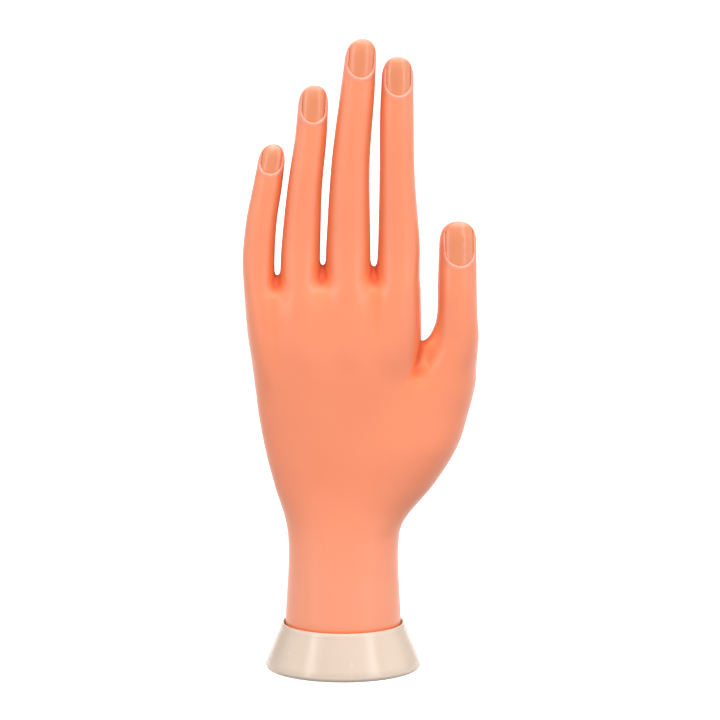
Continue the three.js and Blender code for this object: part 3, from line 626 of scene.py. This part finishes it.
def new_material(name, colour, roughness, **sockets):
    """A material with its shader's own numbers set, ready for nodes that vary them."""
    made = bpy.data.materials.new(name)
    made.use_nodes = True
    shader = made.node_tree.nodes["Principled BSDF"]
    shader.inputs["Base Color"].default_value = (*colour, 1)
    shader.inputs["Roughness"].default_value = roughness
    for socket, value in sockets.items():
        shader.inputs[socket.replace("_", " ")].default_value = value
    return made, made.node_tree, shader


def node(tree, kind, inputs=None, **settings):
    made = tree.nodes.new(kind)
    for key, value in settings.items():
        setattr(made, key, value)
    for key, value in (inputs or {}).items():
        if isinstance(value, bpy.types.NodeSocket):
            tree.links.new(value, made.inputs[key])
        else:
            made.inputs[key].default_value = value
    return made


def noise(tree, scale, detail=3.0, stretch=(1, 1, 1)):
    place = node(tree, "ShaderNodeTexCoord").outputs["Object"]
    mapped = node(tree, "ShaderNodeMapping", {"Vector": place, "Scale": stretch}).outputs["Vector"]
    inputs = {"Vector": mapped, "Scale": scale, "Detail": detail}
    return node(tree, "ShaderNodeTexNoise", inputs).outputs["Fac"]


def carried(tree, name):
    """A value that the mesh carries."""
    return node(tree, "ShaderNodeAttribute", attribute_name=name).outputs["Fac"]


def mixed(tree, factor, first, second):
    made = node(tree, "ShaderNodeMix", data_type="RGBA")
    for socket, value in ((made.inputs[0], factor), (made.inputs[6], first), (made.inputs[7], second)):
        if isinstance(value, bpy.types.NodeSocket):
            tree.links.new(value, socket)
        elif isinstance(value, tuple):
            socket.default_value = (*value, 1)
        else:
            socket.default_value = value
    return made.outputs[2]


def ranged(tree, value, low, high, to_low, to_high):
    inputs = {"Value": value, "From Min": low, "From Max": high, "To Min": to_low, "To Max": to_high}
    return node(tree, "ShaderNodeMapRange", inputs).outputs["Result"]


def bumped(tree, shader, *heights):
    """Chains one bump for each (height, strength, distance)."""
    normal = None
    for height, strength, distance in heights:
        inputs = {"Height": height, "Strength": strength, "Distance": distance}
        if normal is not None:
            inputs["Normal"] = normal
        normal = node(tree, "ShaderNodeBump", inputs).outputs["Normal"]
    tree.links.new(normal, shader.inputs["Normal"])


def skin_material():
    made, tree, shader = new_material(
        "soft_vinyl",
        (0.66, 0.2, 0.1),
        0.4,
        Specular_IOR_Level=0.45,
        Sheen_Weight=0.06,
        Sheen_Roughness=0.45,
        Sheen_Tint=(1.0, 0.8, 0.78, 1),
    )
    shade = carried(tree, "shade")
    patches = ranged(tree, noise(tree, 38, 2), 0.35, 0.65, 0, 1)
    place = node(tree, "ShaderNodeTexCoord").outputs["Object"]
    height = node(tree, "ShaderNodeSeparateXYZ", {"Vector": place}).outputs["Z"]
    colour = mixed(tree, patches, *OPEN_SKIN)
    # painted light: paler skin low on the wrist
    colour = mixed(tree, ranged(tree, height, *WRIST_LIGHT_HEIGHTS, 1, 0), colour, WRIST_PAINTED_LIGHT)
    # painted shade: warmer, then deeper colour where the skin is shut in
    colour = mixed(tree, ranged(tree, shade, *WARM_SHADES, 0, 1), colour, PAINTED_WARM_SHADE)
    colour = mixed(tree, ranged(tree, shade, *DEEP_SHADES, 0, 1), colour, PAINTED_DEEP_SHADE)
    # painted highlight: paler colour on the cuticle's lip
    colour = mixed(tree, ranged(tree, carried(tree, "rim"), 0.15, 0.8, 0, 0.95), colour, PAINTED_CUTICLE_HIGHLIGHT)
    tree.links.new(colour, shader.inputs["Base Color"])
    satin = ranged(tree, noise(tree, 120, 4), 0.3, 0.7, 0.32, 0.38)
    duller = ranged(tree, shade, 0.3, 0.8, 0, 0.4)
    rough = node(tree, "ShaderNodeMath", {0: satin, 1: duller}, operation="ADD").outputs[0]
    tree.links.new(rough, shader.inputs["Roughness"])
    bumped(
        tree,
        shader,
        (noise(tree, 70, 2), 0.25, 0.0004),
        (noise(tree, 2600, 2), 0.12, 0.00003),
    )
    return made


def nail_material():
    made, tree, shader = new_material(
        "nail_plastic",
        (0.56, 0.18, 0.08),
        0.3,
        Specular_IOR_Level=0.5,
        Coat_Weight=0.25,
        Coat_Roughness=0.22,
    )
    streak = ranged(tree, noise(tree, 260, 2, (1, 1, 0.05)), 0.35, 0.65, 0, 1)
    colour = mixed(tree, streak, *NAIL_BODY)
    colour = mixed(tree, ranged(tree, carried(tree, "edge"), 0, 1, 0, 0.8), colour, NAIL_FREE_END)
    # partly the skin seen through the plate, partly painted shade under the cuticle's lip
    colour = mixed(tree, ranged(tree, carried(tree, "root"), 0, 1, 0, 0.75), colour, NAIL_ROOT_TINT_AND_SHADE)
    tree.links.new(colour, shader.inputs["Base Color"])
    tree.links.new(ranged(tree, noise(tree, 90, 2), 0.3, 0.7, 0.3, 0.36), shader.inputs["Roughness"])
    bumped(tree, shader, (noise(tree, 500, 2, (1, 1, 0.08)), 0.05, 0.00002))
    return made


def stand_material():
    made, tree, shader = new_material("stand_plastic", (0.74, 0.59, 0.47), 0.2, Specular_IOR_Level=0.5)
    flow = ranged(tree, noise(tree, 30, 4, (1, 1, 0.4)), 0.3, 0.7, 0, 1)
    tree.links.new(mixed(tree, flow, *STAND_CREAM), shader.inputs["Base Color"])
    tree.links.new(ranged(tree, noise(tree, 160, 4), 0.3, 0.7, 0.2, 0.28), shader.inputs["Roughness"])
    bumped(tree, shader, (noise(tree, 55, 2), 0.2, 0.0003), (noise(tree, 1500, 2), 0.1, 0.00003))
    return made


def inner_material(name, colours, roughness, scale, bump, **sockets):
    """A plain moulded, foamed or drawn finish for a piece inside the hand."""
    made, tree, shader = new_material(name, colours[0], roughness, **sockets)
    grain = ranged(tree, noise(tree, scale, 4), 0.3, 0.7, 0, 1)
    tree.links.new(mixed(tree, grain, *colours), shader.inputs["Base Color"])
    tree.links.new(
        ranged(tree, noise(tree, scale / 2, 3), 0.3, 0.7, roughness - 0.06, roughness + 0.06),
        shader.inputs["Roughness"],
    )
    bumped(tree, shader, (noise(tree, scale * 2, 3), 0.4, bump))
    return made


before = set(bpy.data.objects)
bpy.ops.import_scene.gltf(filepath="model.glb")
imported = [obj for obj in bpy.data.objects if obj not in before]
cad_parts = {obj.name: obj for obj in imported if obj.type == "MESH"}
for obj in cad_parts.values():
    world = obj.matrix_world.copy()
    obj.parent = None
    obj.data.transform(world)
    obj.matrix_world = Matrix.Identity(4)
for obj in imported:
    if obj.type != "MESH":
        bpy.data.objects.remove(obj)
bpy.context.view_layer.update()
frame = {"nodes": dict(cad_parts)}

SKIN = skin_material()
NAIL = nail_material()
STAND = stand_material()
FOAM = inner_material("foam", FOAM_YELLOW, 0.9, 900, 0.0003)
PLUG = inner_material("plug_plastic", PLUG_GREY, 0.5, 200, 0.00005)
WIRE = inner_material("armature_wire", WIRE_GREY, 0.35, 1500, 0.00003, Metallic=1.0)
STEEL = inner_material("screw_steel", STEEL_GREY, 0.3, 700, 0.00003, Metallic=1.0)

FINISHES = {"stand_floor": STAND, "stand_screw": STEEL, "wrist_plug": PLUG, "palm_core": FOAM}
for node_name, obj in frame["nodes"].items():
    finish = WIRE if node_name.endswith("_wire") else FINISHES.get(node_name, SKIN)
    obj.data.materials.clear()
    obj.data.materials.append(finish)

# Skin of the palm, up to the roots of the digits
roots = {name: digit["bends"][0][0] for name, digit in DIGITS.items()}
root_spans = dict(zip(reversed(DIGITS), zip(ROOT_BOUNDS, ROOT_BOUNDS[1:])))
whole = hand_field(list(DIGITS))
palm = skin_piece(
    "skin_palm",
    whole,
    (*PALM_GRID[0], PALM_BOTTOM - PAST_END),
    (*PALM_GRID[1], max(roots.values()) + PAST_END),
    PALM_STEP,
    [(PALM_BOTTOM, True, *ALL_X)] + [(roots[name], False, *root_spans[name]) for name in DIGITS],
    whole,
)
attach(palm, "stand")
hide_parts("palm_skin")


def grid_round(digit, low, high):
    """Two corners of a box round a digit between two heights."""
    x, y, width = (size(np.array([low, high])) for size in digit["sizes"][:3])
    tip_x, tip_y, _ = digit["tip"]
    reach = width.max() + GRID_SIDES
    return (
        (min(*x, tip_x) - reach, min(*y, tip_y) - reach, low - GRID_ENDS),
        (max(*x, tip_x) + reach, max(*y, tip_y) + reach, high + GRID_ENDS),
    )


def length_skin(name, bend, low, high):
    """The skin of a digit from one cut to the next."""
    grid = grid_round(DIGITS[name], low, high)
    cuts = [(low, True, *ALL_X), (high, False, *ALL_X)]
    return skin_piece(f"skin_{name}_{bend}", hand_field([name]), *grid, LENGTH_STEP, cuts, whole)


def tip_skin(name, bend, low):
    """The skin of a digit from its last cut to the tip, with the nail's place."""
    digit, field = DIGITS[name], tip_field(name)

    def shade_field(points):
        return np.minimum(field(points), whole(points))

    # Where the cuticle's painted highlight lies, fading between these nail lengths
    def rim_of(points):
        return cuticle(digit, points, RIM_COLOUR_ENDS)

    grid = grid_round(digit, low, digit["tip"][2] + PAST_END)
    cuts = [(low, True, *ALL_X)]
    return skin_piece(f"skin_{name}_{bend}", field, *grid, TIP_STEP, cuts, shade_field, rim_of)


# Skin of the digits, a piece for each bend
for name, digit in DIGITS.items():
    bodies = [f"{name}_{length}" for length in LENGTHS[name]]
    for i, bend in enumerate(BEND_NAMES[name]):
        low, turn, half = digit["bends"][i]
        if i + 1 < len(bodies):
            piece = length_skin(name, bend, low, digit["bends"][i + 1][0])
        else:
            piece = tip_skin(name, bend, low)
        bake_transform(piece)
        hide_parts(f"{name}_{bend}_fold", f"{bodies[i]}_skin")


def ring_mesh(name, rings, material, closed_ends=True, sharp=math.radians(40)):
    """A mesh over rings of points, in metres. Open ends are joined to each other."""
    count, sides = len(rings), len(rings[0])
    mesh = bpy.data.meshes.new(name)
    points = [tuple(p) for ring in rings for p in ring]
    faces = []
    for i in range(count - 1 if closed_ends else count):
        for j in range(sides):
            a, b = i * sides, (i + 1) % count * sides
            faces.append((a + j, a + (j + 1) % sides, b + (j + 1) % sides, b + j))
    if closed_ends:
        faces += [tuple(range(sides))[::-1], tuple((count - 1) * sides + j for j in range(sides))]
    mesh.from_pydata(points, [], faces)
    bm = bmesh.new()
    bm.from_mesh(mesh)
    bmesh.ops.recalc_face_normals(bm, faces=bm.faces)
    for face in bm.faces:
        face.smooth = True
    for edge in bm.edges:
        edge.smooth = edge.calc_face_angle(0) < sharp
    bm.to_mesh(mesh)
    bm.free()
    return link(name, mesh, material)


def nail_piece(name):
    """The nail plate, with a rounded edge and its root end tucked under the cuticle."""
    digit = DIGITS[name]
    width, length, _ = digit["nail"]
    frame_of = digit["frame"]
    half = width / 2
    root_round, edge_round = half * CUTICLE_ROUND, half * FREE_EDGE_ROUND
    low, high = root_round - NAIL_TUCK, length - edge_round
    middle = (low + high) / 2
    turn = np.pi * np.arange(NAIL_ARC) / NAIL_ARC
    rise = (np.arange(NAIL_STRAIGHT) / NAIL_STRAIGHT) * (high - low)
    side = np.full(NAIL_STRAIGHT, half)
    edge_u = np.concatenate([-half * np.cos(turn), side, half * np.cos(turn), -side])
    edge_v = np.concatenate(
        [low - root_round * np.sin(turn), low + rise, high + edge_round * np.sin(turn), high - rise]
    )
    from_middle = np.hypot(edge_u, edge_v - middle)
    rings, free_ends, root_bands = [], [], []

    def ring(inset, deep):
        share = 1 - inset / from_middle
        u, v = edge_u * share, middle + (edge_v - middle) * share
        d = nail_top(digit, u, v) + deep
        points = frame_of["origin"] + np.stack([u, d, v], 1) @ frame_of["axes"]
        rings.append(points * MM)
        free_ends.append(smooth(v, length - FREE_BAND[0], length - FREE_BAND[1]))
        inward = np.maximum(-outline(digit, u, v, 0, 0), 0)
        fading = 1 - smooth(v, ROOT_BAND_ENDS[0] * length, ROOT_BAND_ENDS[1] * length)
        root_bands.append(np.exp(-((inward / ROOT_BAND) ** 2)) * fading)

    most = float(from_middle.min()) - NAIL_CENTRE
    insets = [NAIL_EDGE + (most - NAIL_EDGE) * (1 - k / NAIL_RINGS) for k in range(NAIL_RINGS)]
    for inset in insets:
        ring(inset, 0.0)
    for k in range(NAIL_EDGE_RINGS):
        angle = math.pi / 2 * k / (NAIL_EDGE_RINGS - 1)
        ring(NAIL_EDGE * (1 - math.sin(angle)), NAIL_EDGE * (1 - math.cos(angle)))
    ring(0.0, NAIL_THICKNESS - UNDER_EDGE)
    ring(UNDER_EDGE, NAIL_THICKNESS)
    for inset in insets[::-3]:
        ring(inset, NAIL_THICKNESS)
    piece = ring_mesh(f"nail_{name}", rings, NAIL)
    put_attribute(piece.data, "edge", np.concatenate(free_ends))
    put_attribute(piece.data, "root", np.concatenate(root_bands))
    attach(piece, f"{name}_nail")
    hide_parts(f"{name}_nail")


for name in DIGITS:
    nail_piece(name)

# Stand. Its ovals are half widths and half depths
FOOT, FOOT_ROUND, FOOT_FLAT = (29.0, 24.5), 1.6, 1.8
RIM, RIM_ROUND = (22.9, 18.9), 0.35
COLLAR, COLLAR_OUT = 15.2, 0.55  # height where the cone ends, and how far it is out from the rim there
NECK = ((0.42, 15.55), (0.12, 17.0))  # how far out from the rim, and height, of what joins it to the cone
SEAT, SEAT_TOP = (21.8, 17.8), 16.6  # of the wrist
DECK, DECK_TOP, DECK_UNDER = (23.4, 18.9), 11.5, 9.3
HOLE, BOSS, BOSS_END = 2.3, 5.6, 7.3  # of the screw
LEDGE = ((-4.6, 2.0), (-3.2, 2.0), (-3.2, 0.3))  # from the foot and height, where the floor plate sits
ROUND_STEPS, RIM_STEPS, STAND_SIDES = 6, 4, 160


def stand_rings():
    """Half width, half depth and height of each ring, up the outside and back through the inside."""

    def grown(oval_of, grow, z):
        return (oval_of[0] + grow, oval_of[1] + grow, z)

    rows = [grown(FOOT, -FOOT_ROUND - FOOT_FLAT, 0.0)]
    for k in range(ROUND_STEPS + 1):
        turn = math.pi / 2 * k / ROUND_STEPS
        rows.append(grown(FOOT, FOOT_ROUND * (math.sin(turn) - 1), FOOT_ROUND * (1 - math.cos(turn))))
    for k in range(1, ROUND_STEPS + 1):
        share = k / ROUND_STEPS
        halves = [foot + (rim + COLLAR_OUT - foot) * share for foot, rim in zip(FOOT, RIM)]
        rows.append((*halves, FOOT_ROUND + (COLLAR - FOOT_ROUND) * share))
    rows += [grown(RIM, *place) for place in NECK]
    for k in range(RIM_STEPS + 1):
        turn = math.pi * k / RIM_STEPS
        level = RIM_TOP - RIM_ROUND + RIM_ROUND * math.sin(turn)
        rows.append(grown(RIM, -RIM_ROUND + RIM_ROUND * math.cos(turn), level))
    rows += [(*SEAT, SEAT_TOP), (*SEAT, DECK_TOP), (HOLE, HOLE, DECK_TOP), (HOLE, HOLE, BOSS_END)]
    rows += [(BOSS, BOSS, BOSS_END), (BOSS, BOSS, DECK_UNDER), (*DECK, DECK_UNDER)]
    rows += [grown(FOOT, *place) for place in LEDGE]
    return rows


def oval(half_width, half_depth, z):
    angles = 2 * np.pi * np.arange(STAND_SIDES) / STAND_SIDES
    points = [half_width * np.cos(angles), half_depth * np.sin(angles), np.full(STAND_SIDES, z)]
    return np.stack(points, 1) * MM


stand = ring_mesh("stand_cone", [oval(*row) for row in stand_rings()], STAND, closed_ends=False)
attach(stand, "stand")
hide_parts("stand_shell")

# Studio. Softboxes: azimuth from the camera's side, elevation, distance, width and height, power
SOFTBOXES = {
    "left_softbox": (-47, 20, 2.4, (0.4, 2.2), 16),
    "right_softbox": (43, 20, 2.4, (0.5, 2.2), 15.5),
    "left_panel": (-86, 10, 2.6, (1.8, 2.4), 15),
    "right_panel": (84, 10, 2.6, (1.8, 2.4), 16),
    "top_softbox": (10, 60, 3.0, (3.4, 2.1), 118),
    "back_softbox": (180, 4, 3.0, (2.0, 2.0), 30),
}
LIT_POINT = Vector((0, 0, 0.12))
FLOOR_CORNERS = [(-6, -6, 0), (6, -6, 0), (6, 6, 0), (-6, 6, 0)]
TARGET, ELEVATION, DISTANCE = Vector((6.3, 0, 118.1)) * MM, math.radians(14), 6.0
LENS_PER_METRE = 134.3  # of the camera's distance
SENSOR_WIDTH = 36

scene = bpy.context.scene
scene.view_settings.view_transform = "Standard"
scene.view_settings.look = "None"

world = bpy.data.worlds.new("studio")
world.use_nodes = True
sky = node(world.node_tree, "ShaderNodeTexCoord").outputs["Generated"]
height = node(world.node_tree, "ShaderNodeSeparateXYZ", {"Vector": sky}).outputs["Z"]
upper = ranged(world.node_tree, height, -0.3, 0.6, 0.4, 0.7)
world.node_tree.links.new(upper, world.node_tree.nodes["Background"].inputs["Strength"])
world.node_tree.nodes["Background"].inputs["Color"].default_value = (1, 1, 1, 1)
scene.world = world

floor_mesh = bpy.data.meshes.new("floor")
floor_mesh.from_pydata(FLOOR_CORNERS, [], [(0, 1, 2, 3)])
floor_finish, floor_tree, floor_shader = new_material(
    "floor", (0.8, 0.8, 0.8), 0.9, Emission_Color=(1, 1, 1, 1), Emission_Strength=0.5
)
floor_grain = ranged(floor_tree, noise(floor_tree, 6, 2), 0.3, 0.7, 0, 1)
floor_tree.links.new(
    mixed(floor_tree, floor_grain, (0.8, 0.8, 0.8), (0.81, 0.81, 0.81)), floor_shader.inputs["Base Color"]
)
floor = link("floor", floor_mesh, floor_finish)
floor.visible_diffuse = False


def softbox(name, azimuth, elevation, distance, size, power):
    """A soft light that looks at the middle of the hand."""
    data = bpy.data.lights.new(name, "AREA")
    data.shape = "RECTANGLE"
    data.size, data.size_y = size
    data.energy = power
    lamp = bpy.data.objects.new(name, data)
    scene.collection.objects.link(lamp)
    a, e = math.radians(azimuth), math.radians(elevation)
    way = Vector((math.sin(a) * math.cos(e), -math.cos(a) * math.cos(e), math.sin(e)))
    lamp.location = LIT_POINT + way * distance
    lamp.rotation_mode = "QUATERNION"
    lamp.rotation_quaternion = way.to_track_quat("Z", "Y")
    lamp.visible_camera = False


for name, setting in SOFTBOXES.items():
    softbox(name, *setting)

camera_data = bpy.data.cameras.new("camera")
camera_data.lens = LENS_PER_METRE * DISTANCE
camera_data.sensor_width = SENSOR_WIDTH
camera = bpy.data.objects.new("camera", camera_data)
scene.collection.objects.link(camera)
outward = Vector((0, -math.cos(ELEVATION), math.sin(ELEVATION)))
camera.location = TARGET + outward * DISTANCE
camera.rotation_mode = "QUATERNION"
camera.rotation_quaternion = outward.to_track_quat("Z", "Y")
scene.camera = camera
